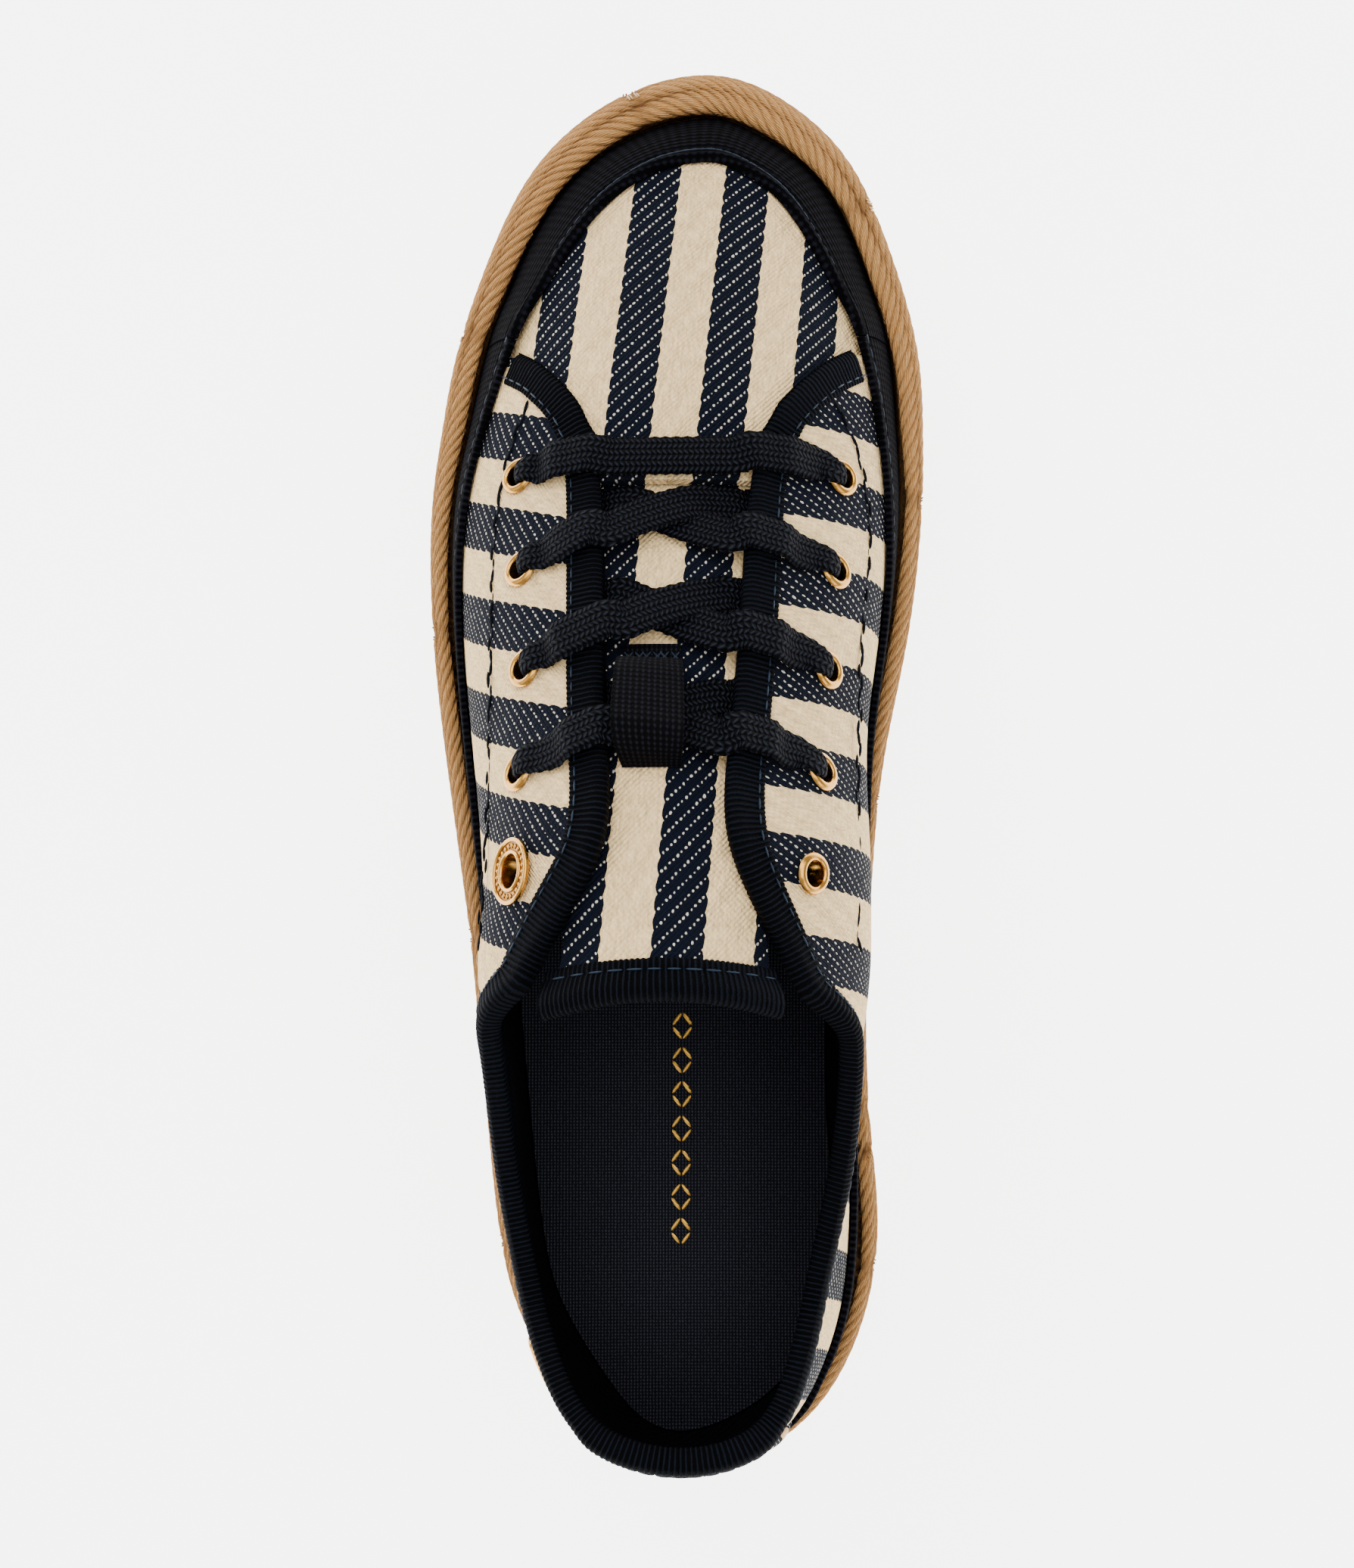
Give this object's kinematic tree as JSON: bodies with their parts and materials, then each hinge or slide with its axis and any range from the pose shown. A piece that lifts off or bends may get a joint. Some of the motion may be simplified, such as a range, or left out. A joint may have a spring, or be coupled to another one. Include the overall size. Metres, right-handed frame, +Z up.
{
  "type": "sneaker",
  "caption": "Low lace-up canvas sneaker on a thick rope-wrapped flatform sole, left foot, with striped canvas upper, taped edges, metal eyelets and flat laces.",
  "frame": {"origin": "centre of the bounding box at floor level", "axes": "+Y from heel to toe, +X to the medial side, +Z up"},
  "size_m": [0.0944, 0.2642, 0.0994],
  "materials": {
    "cream_canvas": "woven canvas, matt",
    "navy_tape": "ribbed tape, matt",
    "jute_rope": "twisted plant fibre, matt",
    "gum_rubber": "gum rubber, matt",
    "core_foam": "foam, matt",
    "navy_braid": "flat braid, matt",
    "gold_metal": "polished"
  },
  "bodies": {
    "root": {"outsole": "gum_rubber", "midsole": "core_foam", "rope_wrap": "jute_rope", "foxing": "navy_tape", "toe_guard": "navy_tape", "upper": "cream_canvas", "collar_binding": "navy_tape", "tongue": "cream_canvas", "tongue_binding": "navy_tape", "tongue_loop": "navy_tape", "insole": "navy_tape", "lace_bar": "navy_braid", "lace_cross_2": "navy_braid", "lace_cross_3": "navy_braid", "lace_cross_4": "navy_braid", "heel_plaque": "gold_metal", "eyelet_lateral_1": "gold_metal", "eyelet_lateral_2": "gold_metal", "eyelet_lateral_3": "gold_metal", "eyelet_lateral_4": "gold_metal", "eyelet_lateral_5": "gold_metal", "eyelet_medial_1": "gold_metal", "eyelet_medial_2": "gold_metal", "eyelet_medial_3": "gold_metal", "eyelet_medial_4": "gold_metal", "eyelet_medial_5": "gold_metal"}
  },
  "joints": []
}
